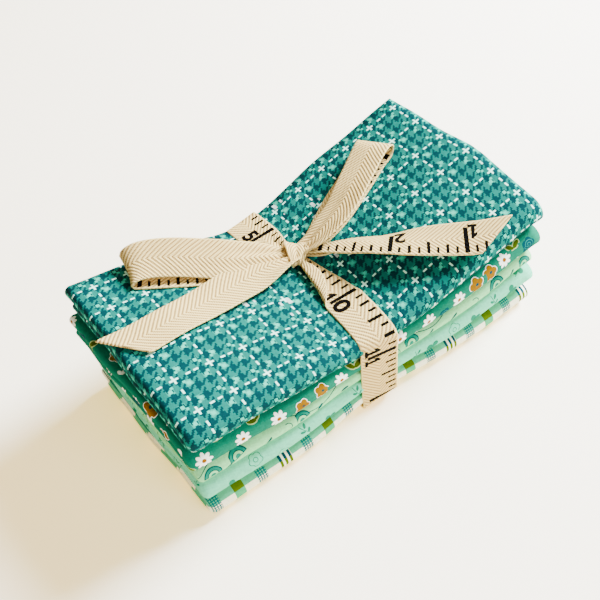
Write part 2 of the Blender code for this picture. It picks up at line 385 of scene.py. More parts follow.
def paint(code):
    # a colour code, of a dye or of a painted shade, as the shader's own numbers
    parts = [int(code[i : i + 2], 16) / 255 for i in (1, 3, 5)]
    return tuple(p / 12.92 if p < 0.04045 else ((p + 0.055) / 1.055) ** 2.4 for p in parts) + (1.0,)


def layered(tree, ground, *layers):
    # lays colours over a ground, each as strongly as its mask, a Sum or a plain number, says
    result = ground
    for mask, colour in layers:
        node = tree.nodes.new("ShaderNodeMix")
        node.data_type = "RGBA"
        if isinstance(mask, Sum):
            tree.links.new(mask.value, node.inputs[0])
        else:
            node.inputs[0].default_value = mask
        for socket, value in ((node.inputs[6], result), (node.inputs[7], colour)):
            if isinstance(value, tuple):
                socket.default_value = value
            else:
                tree.links.new(value, socket)
        result = node.outputs[2]
    return result


def petals(radius, angle, count, size, depth):
    # how far inside a flower outline with this many petals; above 0 is inside
    wave = (angle * (count / 2)).join("COSINE").join("ABSOLUTE")
    return (wave * depth + (1 - depth)) * size - radius


def oval(x, y, atX, atY, longHalf, wideHalf, turn=0.0):
    # 1 inside an oval that is turned about its middle
    c, s = math.cos(turn), math.sin(turn)
    a = (x - atX) * c + (y - atY) * s
    b = (y - atY) * c - (x - atX) * s
    return ((a / longHalf).join("POWER", 2.0) + (b / wideHalf).join("POWER", 2.0)) < 1.0


# threads of the plain weave, and the slow creasing of folded cotton; its Shade is the slub's random tone
# with painted shade in the thread dips and the creases
weaveTree, weaveIn, weaveOut = newGroup(
    "plain weave",
    (("Height", "NodeSocketFloat"), ("Shade", "NodeSocketFloat")),
    (("Thread", "NodeSocketFloat", 0.36),),
)
u, v = uvOf(weaveTree, "print")
thread = Sum(weaveTree, weaveIn.outputs["Thread"])
warp = (u / thread * math.pi).join("SINE")
weft = (v / thread * math.pi).join("SINE")
slub = noiseOf(weaveTree, 900.0, 2.0)
crease = noiseOf(weaveTree, 70.0, 3.0)
height = (warp * weft) * 0.35 + (slub - 0.5) * 0.35 + (crease - 0.5) * 3.0
weaveTree.links.new(height.value, weaveOut.inputs["Height"])
# painted shade: the colour is darker in the dips between threads and in the crease troughs that the height
# also draws; the slub adds random tone
shade = (slub - 0.5) * 0.5 + (warp * weft) * 0.12 + (crease - 0.5) * 0.25 + 1.0
weaveTree.links.new(shade.value, weaveOut.inputs["Shade"])


checkInks = {"dark": "#003033", "mid": "#006257", "pale": "#35AE93", "line": "#B8F0DA"}
# the pane's cell in millimetres, the threads' groups in it, and its marks as shares of it
checkSizes = {
    "cell": 12.7,
    "firstU": 6.35,
    "firstV": 5.1,
    "teeth": 3,
    "glow": 0.095,
    "pale": 0.05,
    "line": 0.026,
    "cross": 0.12,
    "dash": (0.39, 0.065),
    "square": (0.17, 0.035),
}


def checkPrint():
    # houndstooth of dark and middle threads, with pale squares and a dashed pane over it
    tree, _, out = newGroup("check print", (("Color", "NodeSocketColor"),))
    u, v = uvOf(tree, "print")
    s = (u - checkSizes["firstU"]) / checkSizes["cell"]
    t = (v - checkSizes["firstV"]) / checkSizes["cell"]
    threads = checkSizes["teeth"] * 8
    i = (s * threads).join("FLOOR")
    j = (t * threads).join("FLOOR")
    over = ((i + j) % 4) < 1.5
    warpDark = (i % 8) < 3.5
    weftDark = (j % 8) < 3.5
    dark = over * warpDark + over.flip() * weftDark
    # threads turn paler between the pane's lines
    near = lambda p, half: ((p % 0.5) - 0.25).join("ABSOLUTE") < half
    glow = near(s, checkSizes["glow"]) * near(t, checkSizes["glow"])
    pale = near(s, checkSizes["pale"]) * near(t, checkSizes["pale"])
    # how far it is to the pane's nearest line each way, then dashes along it and crosses where two meet
    fromU, fromV = (((p + 0.5) % 1.0 - 0.5).join("ABSOLUTE") for p in (s, t))
    broken = lambda p: p.band(*checkSizes["dash"]) + (p < checkSizes["cross"])
    line = (fromU < checkSizes["line"]) * broken(fromV) + (fromV < checkSizes["line"]) * broken(fromU)
    square = fromU.band(*checkSizes["square"]) * fromV.band(*checkSizes["square"])
    colour = layered(
        tree,
        paint(checkInks["mid"]),
        (dark, paint(checkInks["dark"])),
        (glow * dark.flip() * 0.45, paint(checkInks["pale"])),
        (pale, paint(checkInks["pale"])),
        (square, paint(checkInks["pale"])),
        (line.bound(), paint(checkInks["line"])),
    )
    tree.links.new(colour, out.inputs["Color"])
    return tree


def motifFields(tree):
    # a face's place in its motif, by x and y and by radius and angle, and a test of the motif's kind
    x, y = uvOf(tree, "motif")
    kind = tree.nodes.new("ShaderNodeAttribute")
    kind.attribute_name = "motifKind"
    kind = Sum(tree, kind.outputs["Fac"])
    radius = ((x * x) + (y * y)).join("SQRT")
    angle = y.join("ARCTAN2", x)
    return x, y, radius, angle, lambda number: kind.band(number, 0.5)


meadowInks = {
    "ground": "#00684F",
    "white": "#F6FAEE",
    "gold": "#7E5600",
    "heart": "#804C00",
    "olive": "#405000",
    "rim": "#A0BC78",
    "dark": "#003B44",
    "swirl": "#147868",
}


def meadowPrint():
    # daisies 1, golden flowers 2, leaf pairs 3, buds 4, dark blooms 5
    tree, _, out = newGroup("meadow print", (("Color", "NodeSocketColor"),))
    x, y, radius, angle, isKind = motifFields(tree)
    daisy = (petals(radius, angle, 8, 3.0, 0.42) > 0.0) * isKind(1)
    daisyHeart = (radius < 0.78) * isKind(1)
    gold = petals(radius, angle, 5, 3.3, 0.24)
    goldRim = (gold > 0.0) * isKind(2)
    goldIn = (gold > 0.26) * isKind(2)
    goldDot = oval(x, y, 0.3, 0.2, 0.62, 0.5) * isKind(2)
    pair = lambda one, other: (oval(x, y, *one) + oval(x, y, *other)).bound()
    leafRim = pair((1.5, 0.5, 2.2, 1.25, 0.5), (-1.4, 0.6, 2.0, 1.2, 2.4)) * isKind(3)
    leaf = pair((1.5, 0.5, 1.85, 0.85, 0.5), (-1.4, 0.6, 1.65, 0.8, 2.4)) * isKind(3)
    bud = pair((0.6, 0.0, 1.3, 0.7, 0.9), (-0.7, 0.1, 1.1, 0.65, 2.2)) * isKind(4)
    bloom = petals(radius, angle, 5, 2.8, 0.2)
    bloomIn = (bloom > 0.0) * isKind(5)
    bloomLines = (((radius + angle * 0.22) % 0.95) < 0.22) * (radius < 2.1) * isKind(5)
    colour = layered(
        tree,
        paint(meadowInks["ground"]),
        (leafRim, paint(meadowInks["rim"])),
        (leaf, paint(meadowInks["olive"])),
        (bud, paint(meadowInks["white"])),
        (goldRim, paint(meadowInks["white"])),
        (goldIn, paint(meadowInks["gold"])),
        (goldDot, paint(meadowInks["dark"])),
        (bloomIn, paint(meadowInks["dark"])),
        (bloomLines, paint(meadowInks["swirl"])),
        (daisy, paint(meadowInks["white"])),
        (daisyHeart, paint(meadowInks["heart"])),
    )
    tree.links.new(colour, out.inputs["Color"])
    return tree


vineInks = {"ground": "#80CC8C", "line": "#004443", "fill": "#087660"}


def vinePrint():
    # half-round flowers 1, leaves 2, curls 3, over wandering line vines
    tree, _, out = newGroup("vine print", (("Color", "NodeSocketColor"),))
    x, y, radius, angle, isKind = motifFields(tree)
    u, v = uvOf(tree, "print")
    sway = (u / 9.0).join("SINE") * 3.0 + (u / 4.1).join("SINE") * 1.1
    stem = (((v + sway) % 13.0) - 6.5).join("ABSOLUTE") < 0.17
    half = (y > -0.6) * isKind(1)
    ring = half * (radius < 3.4) * ((radius > 2.95) + radius.band(1.9, 0.17)).bound()
    base = half * ((y < -0.3) * (radius < 3.4))
    fill = half * (radius < 3.2) * (radius > 2.05)
    heart = half * (radius < 0.9)
    leaf = oval(x, y, 0.0, 0.0, 1.7, 0.62, 0.7) * isKind(2)
    curl = radius.band(1.7, 0.16) * (x > -0.4) * isKind(3)
    colour = layered(
        tree,
        paint(vineInks["ground"]),
        (stem, paint(vineInks["line"])),
        (curl, paint(vineInks["line"])),
        (fill, paint(vineInks["fill"])),
        (heart, paint(vineInks["fill"])),
        (ring, paint(vineInks["line"])),
        (base, paint(vineInks["line"])),
        (leaf, paint(vineInks["line"])),
    )
    tree.links.new(colour, out.inputs["Color"])
    return tree


sprigInks = {"ground": "#62C49C", "tone": "#0A7255"}


def sprigPrint():
    # clovers 1, outlined flowers 2, sprigs 3, tone on tone
    tree, _, out = newGroup("sprig print", (("Color", "NodeSocketColor"),))
    x, y, radius, angle, isKind = motifFields(tree)
    clover = (petals(radius, angle, 3, 2.7, 0.62) > 0.0) * isKind(1)
    stalk = (x.join("ABSOLUTE") < 0.16) * (y < 0.0) * (y > -3.2) * isKind(1)
    edge = petals(radius, angle, 5, 2.7, 0.2)
    outline = ((edge > 0.0) * (edge < 0.28) + radius.band(0.8, 0.14)).bound() * isKind(2)
    stem = ((x + (y / 1.6).join("SINE") * 0.35).join("ABSOLUTE") < 0.15) * (y.join("ABSOLUTE") < 3.2)
    leaves = oval(x, y, 1.0, 1.7, 1.05, 0.5, 0.8) + oval(x, y, -1.0, 0.6, 1.05, 0.5, 2.3)
    leaves = leaves + oval(x, y, 1.0, -0.7, 1.05, 0.5, 0.8)
    sprig = (stem + leaves).bound() * isKind(3)
    tone = (clover + stalk + outline + sprig).bound()
    colour = layered(tree, paint(sprigInks["ground"]), (tone, paint(sprigInks["tone"])))
    tree.links.new(colour, out.inputs["Color"])
    return tree


plaidInks = {
    "mint": "#46A478",
    "cream": "#F0ECCC",
    "olive": "#485C00",
    "green": "#3A9C66",
    "dark": "#003B44",
    "line": "#00605E",
}
# the plaid's repeat each way, and the middles of its columns with half their widths
plaidSizes = {
    "repeat": 37.8,
    "bandRepeat": 19.0,
    "fine": ((2.0, 2.0), (20.9, 2.0)),
    "square": (11.6, 2.1),
    "stripes": (30.6, 2.5),
    "stripe": (1.9, 1.05),
    "thread": (0.95, 0.42),
}


def plaidPrint():
    # two bands across, and columns of fine checks, squares and stripes along them
    tree, _, out = newGroup("plaid print", (("Color", "NodeSocketColor"),))
    u, v = uvOf(tree, "print")
    across = (u + 2.0) % plaidSizes["repeat"]
    lower = (v % plaidSizes["bandRepeat"]) < plaidSizes["bandRepeat"] / 2
    first, second = (across.band(*column) for column in plaidSizes["fine"])
    fine = (first + second).bound()
    square = across.band(*plaidSizes["square"])
    stripes = across.band(*plaidSizes["stripes"])
    apart, wide = plaidSizes["thread"]
    threads = (((u % apart) < wide) + ((v % apart) < wide)).bound()
    apart, wide = plaidSizes["stripe"]
    stripe = ((across - plaidSizes["stripes"][0] + plaidSizes["stripes"][1]) % apart) < wide
    colour = layered(
        tree,
        paint(plaidInks["mint"]),
        (lower, paint(plaidInks["cream"])),
        (square * lower.flip(), paint(plaidInks["olive"])),
        (square * lower, paint(plaidInks["green"])),
        (stripes * stripe * lower.flip(), paint(plaidInks["dark"])),
        (stripes * stripe * lower, paint(plaidInks["olive"])),
        (stripes * stripe.flip(), paint(plaidInks["cream"])),
        (fine * threads, paint(plaidInks["line"])),
    )
    tree.links.new(colour, out.inputs["Color"])
    return tree


cotton = {"roughness": 0.9, "specular": 0.03}


def cottonMaterial(name):
    # a new dull material, its tree and its shader
    material = bpy.data.materials.new(name)
    material.use_nodes = True
    shader = material.node_tree.nodes["Principled BSDF"]
    shader.inputs["Roughness"].default_value = cotton["roughness"]
    shader.inputs["Specular IOR Level"].default_value = cotton["specular"]
    return material, material.node_tree, shader


def useGroup(tree, group):
    node = tree.nodes.new("ShaderNodeGroup")
    node.node_tree = group
    return node.outputs


def addBump(tree, shader, height, distance, strength):
    bump = tree.nodes.new("ShaderNodeBump")
    bump.inputs["Distance"].default_value = distance
    bump.inputs["Strength"].default_value = strength
    tree.links.new(height, bump.inputs["Height"])
    tree.links.new(bump.outputs["Normal"], shader.inputs["Normal"])


def clothFinish(name, printTree, wrongSide):
    # printed quilting cotton: the print, paler on its wrong side, with the weave's bump, its slub tone and
    # painted shade in thread dips and creases
    material, tree, shader = cottonMaterial(name)
    colour = useGroup(tree, printTree)["Color"]
    weave = useGroup(tree, weaveTree)
    if wrongSide:
        colour = layered(tree, colour, (0.55, paint("#E9F4EC")))
    # painted shade: the weave's Shade multiplies the colour, darker in thread dips and creases
    shaded = tree.nodes.new("ShaderNodeMix")
    shaded.data_type = "RGBA"
    shaded.blend_type = "MULTIPLY"
    shaded.inputs[0].default_value = 1.0
    tree.links.new(colour, shaded.inputs[6])
    tree.links.new(weave["Shade"], shaded.inputs[7])
    tree.links.new(shaded.outputs[2], shader.inputs["Base Color"])
    addBump(tree, shader, weave["Height"], 0.00012, 0.7)
    return material


# herringbone twill: ribs slant to the tape's middle from both edges, dotted by its picks; its colour has
# painted shade in the grooves and in the pits between picks
twillSizes = {"rib": 1.75, "pick": 0.62, "middle": 7.0, "selvedge": 0.5}
# the yarn's colour, the painted shade of the grooves and pits, and the lint's own tone
twillYarnAndShadeColours = {"rib": "#E2C480", "groove": "#9A5F12", "pit": "#5E3806", "lint": "#CCA458"}
twillOutputs = (("Height", "NodeSocketFloat"), ("Color", "NodeSocketColor"))
twillTree, _, twillOut = newGroup("herringbone twill", twillOutputs)
u, v = uvOf(twillTree, "print")
fromMiddle = (v - twillSizes["middle"]).join("ABSOLUTE")
fuzz = noiseOf(twillTree, 1500.0, 2.0)
drift = noiseOf(twillTree, 160.0, 1.0)
ribWay = (u + fromMiddle * 1.05) / twillSizes["rib"] + (drift - 0.5) * 0.25
pickWay = (u * -0.55 + fromMiddle) / twillSizes["pick"]
rib = (ribWay * math.pi * 2).join("COSINE") * 0.5 + 0.5
pick = (pickWay * math.pi * 2).join("COSINE") * 0.5 + 0.5
groove = rib.flip().soft(0.35, 0.95)
pit = groove * pick.flip().soft(0.3, 0.9)
selvedge = (fromMiddle - (twillSizes["middle"] - twillSizes["selvedge"])).bound().soft(0.0, 0.15)
inside = selvedge.flip()
height = rib * 0.7 - pit * 0.5 + pick * 0.15 + (fuzz - 0.5) * 0.5 + selvedge * 0.35
twillTree.links.new(height.value, twillOut.inputs["Height"])
# painted shade: grooves and pits, which the height also sinks, are darkened in the colour; the lint flecks
# are the yarn's own tone
colour = layered(
    twillTree,
    paint(twillYarnAndShadeColours["rib"]),
    (groove * inside * 0.42, paint(twillYarnAndShadeColours["groove"])),
    (pit * inside * 0.85, paint(twillYarnAndShadeColours["pit"])),
    ((fuzz - 0.45).bound() * 0.6, paint(twillYarnAndShadeColours["lint"])),
)
twillTree.links.new(colour, twillOut.inputs["Color"])

# the ruler's marks: how many eighths apart, half their thickness and how far in they reach
rulerMarks = ((1, 0.44, 3.7), (2, 0.506, 4.7), (4, 0.572, 6.4), (8, 0.8, 11.6))
rulerEdge = 0.7
rulerTree, _, rulerOut = newGroup("ruler marks", (("Mask", "NodeSocketFloat"),))
u, v = uvOf(rulerTree, "print")
worn = noiseOf(rulerTree, 1400.0, 2.0)
marks = Sum(rulerTree, 0.0)
for apart, half, reach in rulerMarks:
    spacing = apart * inch / 8
    marks = marks + (((u / spacing + 0.5) % 1.0 - 0.5).join("ABSOLUTE") * spacing < half) * (v < reach)
marks = marks.bound() * (v > rulerEdge) * (worn < 0.76)
rulerTree.links.new(marks.value, rulerOut.inputs["Mask"])


def tapeFinish(name, printed):
    # cotton twill tape, plain on one side and printed as a ruler on the other
    material, tree, shader = cottonMaterial(name)
    twill = useGroup(tree, twillTree)
    colour = twill["Color"]
    if printed:
        colour = layered(tree, colour, (Sum(tree, useGroup(tree, rulerTree)["Mask"]), paint("#040302")))
    tree.links.new(colour, shader.inputs["Base Color"])
    addBump(tree, shader, twill["Height"], 0.0003, 0.8)
    return material


def inkFinish():
    # black printing ink, a little broken by the twill under it
    material, tree, shader = cottonMaterial("ruler ink")
    fleck = noiseOf(tree, 1400.0, 2.0)
    colour = layered(tree, paint("#060403"), ((fleck - 0.62).bound() * 1.2, paint("#4A3820")))
    tree.links.new(colour, shader.inputs["Base Color"])
    return material


prints = {
    "cloth_check": checkPrint(),
    "cloth_meadow": meadowPrint(),
    "cloth_vine": vinePrint(),
    "cloth_sprig": sprigPrint(),
    "cloth_plaid": plaidPrint(),
}
print("prints drawn")

# The fold plan of one fat quarter: thirds across, then quarters along, then one
# more fold in half at the front. Ply and layer numbers count from the outside in.
# The numbers of points are for each part of the fold, each layer and each end fold.
foldPlan = {
    "plies": 3,
    "layers": 4,
    "top": 13,
    "roll": 16,
    "bottom": 9,
    "edge": 3,
    "run": (46, 22, 22, 22),
    "lip": 9,
    "leftLip": 5.5,
    "rightLip": 2.6,
    "thick": 0.2,
    "flat": (0.457, 0.559),
}
# each end fold's middle, its radius, and the layers that it joins
endFolds = {"outer": (5.5, 5.5, 0, 3), "inner": (5.5, -0.5, 2, 1), "right": (8.5, -2.5, 3, 2)}


def foldRows():
    # which ply, the part of the fold and the place in it, and the bulge between two plies at the back
    ups = [("top", t) for t in np.linspace(0, 1, foldPlan["top"])[:-1]]
    ups += [("roll", t) for t in np.linspace(0, 1, foldPlan["roll"])]
    ups += [("bottom", t) for t in np.linspace(0, 1, foldPlan["bottom"])[1:]]
    rows = []
    for ply in range(foldPlan["plies"]):
        run = ups if ply % 2 == 0 else ups[::-1]
        rows += [(float(ply), part, t, 0.0) for part, t in run]
        if ply < foldPlan["plies"] - 1:
            part, t = run[-1]
            for k in range(1, foldPlan["edge"] + 1):
                a = math.pi * k / (foldPlan["edge"] + 1)
                rows.append((ply + (1 - math.cos(a)) / 2, part, t, math.sin(a)))
    return rows


def foldColumns():
    # which layer, as a number, or which end fold, and the place along it
    columns = []
    for what in (0, "outer", 3, "right", 2, "inner", 1):
        if isinstance(what, int):
            columns += [(what, t) for t in np.linspace(0, 1, foldPlan["run"][what])]
        else:
            columns += [(what, math.pi * k / foldPlan["lip"]) for k in range(1, foldPlan["lip"])]
    return columns


def clothSheet(index):
    # one whole fat quarter as a grid of points, folded up into its slab of the stack
    name = clothNames[index]
    spec = cloths[name]
    rng = random.Random(spec["seed"])
    phases = [rng.uniform(0, 6.28) for _ in range(6)]
    shifts = [0.0] + [rng.uniform(-1.6, 0.4) for _ in range(3)]
    backShifts = [0.0] + [rng.uniform(-1.2, 0.2) for _ in range(3)]
    left, right = spec["ends"]
    n = foldPlan["plies"] * foldPlan["layers"]
    rows, columns = foldRows(), foldColumns()

    shape = (len(rows), len(columns))
    x0, jut, depth, backShift = np.zeros(shape), np.zeros(shape), np.zeros(shape), np.zeros(shape)
    thickLeft, thickRight = (float(slab(index, np.array(x))[1]) for x in (left + 6.0, right - 6.0))
    slit = 0.3 + 0.06 * thickLeft
    pad = {"left": (thickLeft / 2 - slit / 2) / n, "right": (thickRight / 2 - slit / 2) / n}
    lo = left + foldPlan["leftLip"] * pad["left"]
    for c, (what, t) in enumerate(columns):
        for r, (ply, part, u, bulge) in enumerate(rows):
            if isinstance(what, int):
                hi = right - foldPlan["rightLip"] * pad["right"] if what in (2, 3) else right + shifts[what]
                x0[r, c] = hi + (lo - hi) * t if what in (0, 2) else lo + (hi - lo) * t
                depth[r, c] = {0: ply, 1: 11 - ply, 2: 6 + ply, 3: 5 - ply}[what]
                backShift[r, c] = backShifts[what]
                continue
            centre, radius, first, last = endFolds[what]
            end, way = ("right", 1) if what == "right" else ("left", -1)
            radius = radius + way * ply
            depth[r, c] = centre - radius * math.cos(t)
            x0[r, c] = right - foldPlan["rightLip"] * pad["right"] if end == "right" else lo
            jut[r, c] = way * abs(radius) * pad[end] * math.sin(t)
            turned = (1 - math.cos(t)) / 2
            backShift[r, c] = backShifts[first] + (backShifts[last] - backShifts[first]) * turned

    # lay the rows out in the stack, all at once
    at = (x0 - left) / (right - left)
    near = smooth(1 - np.abs(x0 - bundle["tapeFrontX"]) / 34)
    tight = smooth(1 - np.abs(x0 - bundle["tapeFrontX"]) / 15)
    low, thick = slab(index, x0)
    slit = 0.3 + 0.06 * thick
    tau = (thick / 2 - slit / 2) / n
    depth = (depth + 0.5) * tau
    wave = spec["wave"]
    front = spec["front"][0] + (spec["front"][1] - spec["front"][0]) * at + spec["pull"] * near
    uneven = 0.6 * np.sin(x0 / 15 + phases[0]) + 0.35 * np.sin(x0 / 6.4 + phases[1])
    front = front + wave * uneven * (1 - tight)
    back = spec["back"][0] + (spec["back"][1] - spec["back"][0]) * at - 1.2 * near + backShift
    back = back + 0.35 * np.sin(x0 / 12 + phases[2])
    radius = thick / 2
    foldY = front + radius
    y = np.zeros(shape)
    z = np.zeros(shape)
    for r, (ply, part, u, bulge) in enumerate(rows):
        edge = bulge * tau[r] * 0.5
        if part == "top":
            y[r] = back[r] + edge + (foldY[r] - back[r] - edge) * u
            z[r] = thick[r] - depth[r]
        elif part == "roll":
            a = math.pi * u
            y[r] = foldY[r] - (radius[r] - depth[r]) * (1 + 0.05 * math.sin(a)) * math.sin(a)
            z[r] = radius[r] + (radius[r] - depth[r]) * math.cos(a)
        else:
            bottomBack = back[r] - 1.5 + 0.5 * math.sin(spec["seed"])
            y[r] = foldY[r] + (bottomBack + edge - foldY[r]) * u
            z[r] = depth[r]
    endWave = 0.45 * np.sin(y / 9 + phases[3]) + 0.3 * np.sin(y / 4.3 + phases[4])
    endShare = smooth((np.abs(x0 - (left + right) / 2) - 52) / 22)
    x = x0 + jut + endWave * endShare * np.where(at < 0.5, 1, -1) * 0.8
    x = x - spec["corner"] * np.clip(1 - at, 0, 1) ** 3 * (y + 38) / 76
    points = np.stack([x, y, placeZ(x0, y, low + z)], -1)

    # print coordinates are lengths along the unfolded cloth, from the top's left back corner
    runColumns = foldPlan["run"][0]
    halfTop = foldPlan["top"] // 2
    across = np.concatenate([[0], np.cumsum(np.linalg.norm(np.diff(points[halfTop], axis=0), axis=1))])
    across = across[runColumns - 1] - across
    steps = np.linalg.norm(np.diff(points, axis=0), axis=2)
    outX, outRoll = x0[0, :runColumns][::-1], None
    for ply in range(foldPlan["plies"]):
        # inner layers take the outer one's length round the roll, so prints run straight past the ends
        rolled = [r for r in range(len(rows) - 1) if rows[r][:2] == rows[r + 1][:2] == (ply, "roll")]
        ownRoll = steps[rolled].sum(axis=0)
        if outRoll is None:
            outRoll = ownRoll[:runColumns][::-1]
        steps[rolled] *= np.interp(x0[0], outX, outRoll) / ownRoll
    down = np.vstack([np.zeros((1, shape[1])), np.cumsum(steps, axis=0)])
    if "bandAt" in spec:
        down = down - down[foldPlan["top"] - 1 + round(spec["bandAt"] * (foldPlan["roll"] - 1))]
    uv = np.stack([np.broadcast_to(across, shape), down], -1) * mm

    def rollPlace(atX, share):
        # the print coordinates of a place on the front roll
        column = float(np.interp(atX, x0[0, :runColumns][::-1], np.arange(runColumns)[::-1]))
        row = foldPlan["top"] - 1 + share * (foldPlan["roll"] - 1)
        c, r = min(int(column), runColumns - 2), int(row)
        fc, fr = column - c, row - r
        upper = uv[r, c] / mm * (1 - fc) * (1 - fr) + uv[r, c + 1] / mm * fc * (1 - fr)
        return tuple(upper + uv[r + 1, c] / mm * fr)

    bm = bmesh.new()
    bm.loops.layers.uv.new("print")
    addGrid(bm, toRow(points), uv)
    if name in motifs:
        span = ((float(across.min()), 0.0), (float(across.max()), float(down.max())))
        chartMotifs(name, bm, rollPlace, span)
    piece = meshPiece(name + "_folds", bm)
    piece.data.shade_smooth()
    return piece


for index, name in enumerate(clothNames):
    piece = clothSheet(index)
    skin = piece.modifiers.new("cloth", "SOLIDIFY")
    skin.thickness = foldPlan["thick"] * mm
    skin.offset = -1
    skin.material_offset = 1
    piece.data.materials.append(clothFinish(name + " face", prints[name], False))
    piece.data.materials.append(clothFinish(name + " wrong side", prints[name], True))
    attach(piece, "root")
    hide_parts(name)
print("cloths folded")


# The tape: one length of herringbone twill, in runs that meet inside the knot.
# Each row is x, y, height over the top cloth, width, tilt at the far edge, tilt
# at the near edge (degrees, up towards the near side), how far it is pleated, and
# the share of its width, from the plain edge, that is folded over on itself.
tape = {
    "width": 14.0,
    "thick": 0.5,
    "clear": 0.35,
    "across": 20,
    "step": 0.9,
    "bend": 2.6,
    "topBend": 4.0,
    "leftLoop": (
        (-1.0, 8.6, 2.9, 5.0, -10, 20, 0.6),
        (-5.5, 9.6, 4.0, 7.4, -24, 10, 0.8),
        (-12.5, 11.9, 5.4, 11.6, -26, -16, 0.6),
        (-23.0, 16.6, 6.6, 14.0, -26, -26, 0.15),
        (-34.8, 24.0, 7.0, 14.0, -26, -28, 0.0),
        (-43.6, 29.2, 6.9, 14.0, -22, -26, 0.0),
        (-49.2, 31.6, 6.3, 14.0, -17, -22, 0.0),
        (-52.4, 32.6, 4.6, 14.0, -10, -14, 0.0),
        (-53.2, 32.8, 2.6, 14.0, -6, -8, 0.0),
        (-51.8, 32.0, 0.8, 14.0, 0, 0, 0.0),
        (-46.0, 28.4, 0.0, 14.0, 0, 0, 0.0),
        (-36.5, 23.0, 0.0, 14.0, 0, 0, 0.0),
        (-25.0, 17.0, 0.2, 13.6, 0, 0, 0.0),
        (-13.0, 11.6, 0.9, 11.0, 0, 0, 0.3),
        (-5.0, 8.8, 1.8, 6.5, 0, 0, 0.6),
        (-1.8, 8.0, 2.2, 5.0, 0, 0, 0.6),
    ),
    "leftTail": (
        (-1.0, 6.9, 3.3, 4.6, -10, 24, 0.6),
        (-5.0, 7.2, 4.3, 6.8, -14, 20, 0.8),
        (-11.0, 7.9, 4.6, 11.0, -14, 6, 0.5),
        (-19.5, 8.0, 3.6, 13.6, -13, -8, 0.2),
        (-29.0, 7.6, 2.2, 14.0, -12, -8, 0.0),
        (-40.5, 6.4, 0.9, 14.0, -4, -3, 0.0),
        (-53.0, 4.8, 0.4, 14.0, 0, 0, 0.0),
        (-64.0, 3.6, 0.5, 14.0, 0, 0, 0.0),
        (-71.6, 3.2, 0.9, 14.0, 2, 3, 0.0),
    ),
    "rightLoop": (
        (-0.4, 8.6, 3.0, 5.4, -20, 20, 0.6),
        (3.6, 7.4, 4.6, 8.6, -4, 30, 0.7),
        (8.8, 6.9, 5.9, 11.8, 10, 26, 0.4),
        (20.8, 8.8, 7.0, 13.6, 18, 20, 0.15),
        (32.6, 13.9, 7.2, 14.0, 18, 17, 0.0),
        (41.8, 18.3, 7.1, 14.0, 15, 14, 0.0),
        (46.6, 20.4, 6.5, 14.0, 10, 10, 0.0),
        (49.6, 21.7, 4.8, 14.0, 5, 6, 0.0),
        (50.4, 22.1, 2.8, 14.0, 2, 3, 0.0),
        (49.4, 21.6, 1.0, 14.0, 0, 0, 0.0),
        (44.1, 20.5, 0.2, 14.0, 0, 0, 0.0),
        (34.0, 17.2, 0.0, 14.0, 0, 0, 0.0),
        (21.4, 13.0, 0.2, 13.0, 0, 0, 0.1),
        (8.8, 9.0, 1.2, 9.0, 0, 0, 0.5),
        (1.0, 7.8, 2.2, 5.0, 0, 0, 0.7),
    ),
    "rightTail": (
        (-0.6, 8.0, 2.6, 5.0, 0, 20, 0.4, 0.5),
        (2.4, 6.3, 3.0, 8.6, 0, 16, 0.2, 0.5),
        (4.2, 4.7, 3.3, 10.8, 0, 14, 0.1, 0.5),
        (8.2, 0.7, 3.7, 12.8, 10, 12, 0.0, 0.46),
        (13.6, -5.2, 4.0, 14.0, 30, 6, 0.0, 0.22),
        (18.4, -10.6, 4.1, 14.0, 34, 8, 0.0, 0.02),
        (22.5, -14.6, 4.0, 14.0, 29, 8, 0.0, -0.1),
        (27.0, -19.2, 3.8, 14.0, 13, 6, 0.0, -0.1),
        (32.4, -24.2, 3.6, 14.0, -2, 4, 0.0, -0.1),
        (41.0, -32.2, 3.7, 14.0, -9, -3, 0.0),
        (49.0, -39.2, 4.2, 14.0, -6, -3, 0.0),
    ),
    "frontStrand": (
        (-0.9, 8.0, 2.2, 4.6, 0, -10, 0.4, 0.3),
        (-0.9, 4.0, 1.9, 6.4, 0, -6, 0.4, 0.34),
        (-0.8, -1.7, 1.4, 11.0, 0, -2, 0.15, 0.4),
        (-0.8, -8.9, 1.1, 14.0, 0, 0, 0.0, 0.3),
        (-1.1, -14.7, 0.6, 14.0, 0, 0, 0.0, 0.1),
        (-1.5, -19.2, 0.1, 14.0, 0, 0, 0.0, -0.08),
    ),
    "backStrand": (
        (-1.0, 8.4, 1.9, 4.6, -20, 20, 0.8),
        (-2.2, 12.4, 1.4, 6.0, -16, 16, 0.8),
        (-3.4, 17.0, 0.7, 9.6, -8, 8, 0.5),
        (-3.9, 23.0, 0.2, 13.2, 0, 0, 0.15),
        (-3.8, 28.0, 0.0, 14.0, 0, 0, 0.0),
    ),
    "wrap": (
        (-3.0, 5.0, 0.4, 4.0, 20, -40, 0.0),
        (-4.0, 3.8, 1.8, 3.8, 22, -50, 0.1),
        (-3.6, 4.3, 3.5, 4.8, 22, -52, 0.2),
        (-2.3, 5.9, 4.9, 6.8, 20, -50, 0.3),
        (-0.6, 8.0, 5.6, 8.4, 18, -46, 0.3),
        (0.9, 9.9, 5.2, 8.8, 16, -38, 0.2),
        (2.0, 11.2, 3.8, 8.6, 12, -24, 0.1),
        (2.3, 11.6, 1.9, 8.0, 6, -12, 0.0),
        (1.6, 10.8, 0.5, 7.0, 0, 0, 0.0),
        (-0.5, 8.2, 0.2, 6.0, 0, 0, 0.0),
        (-2.6, 5.5, 0.2, 5.0, 0, 0, 0.0),
    ),
    "leftCut": 10.6,
    "rightCut": 11.6,
    "foldWay": {"rightTail": 180, "frontStrand": -180},
    "printedUp": ("band", "rightTail", "wrap"),
}


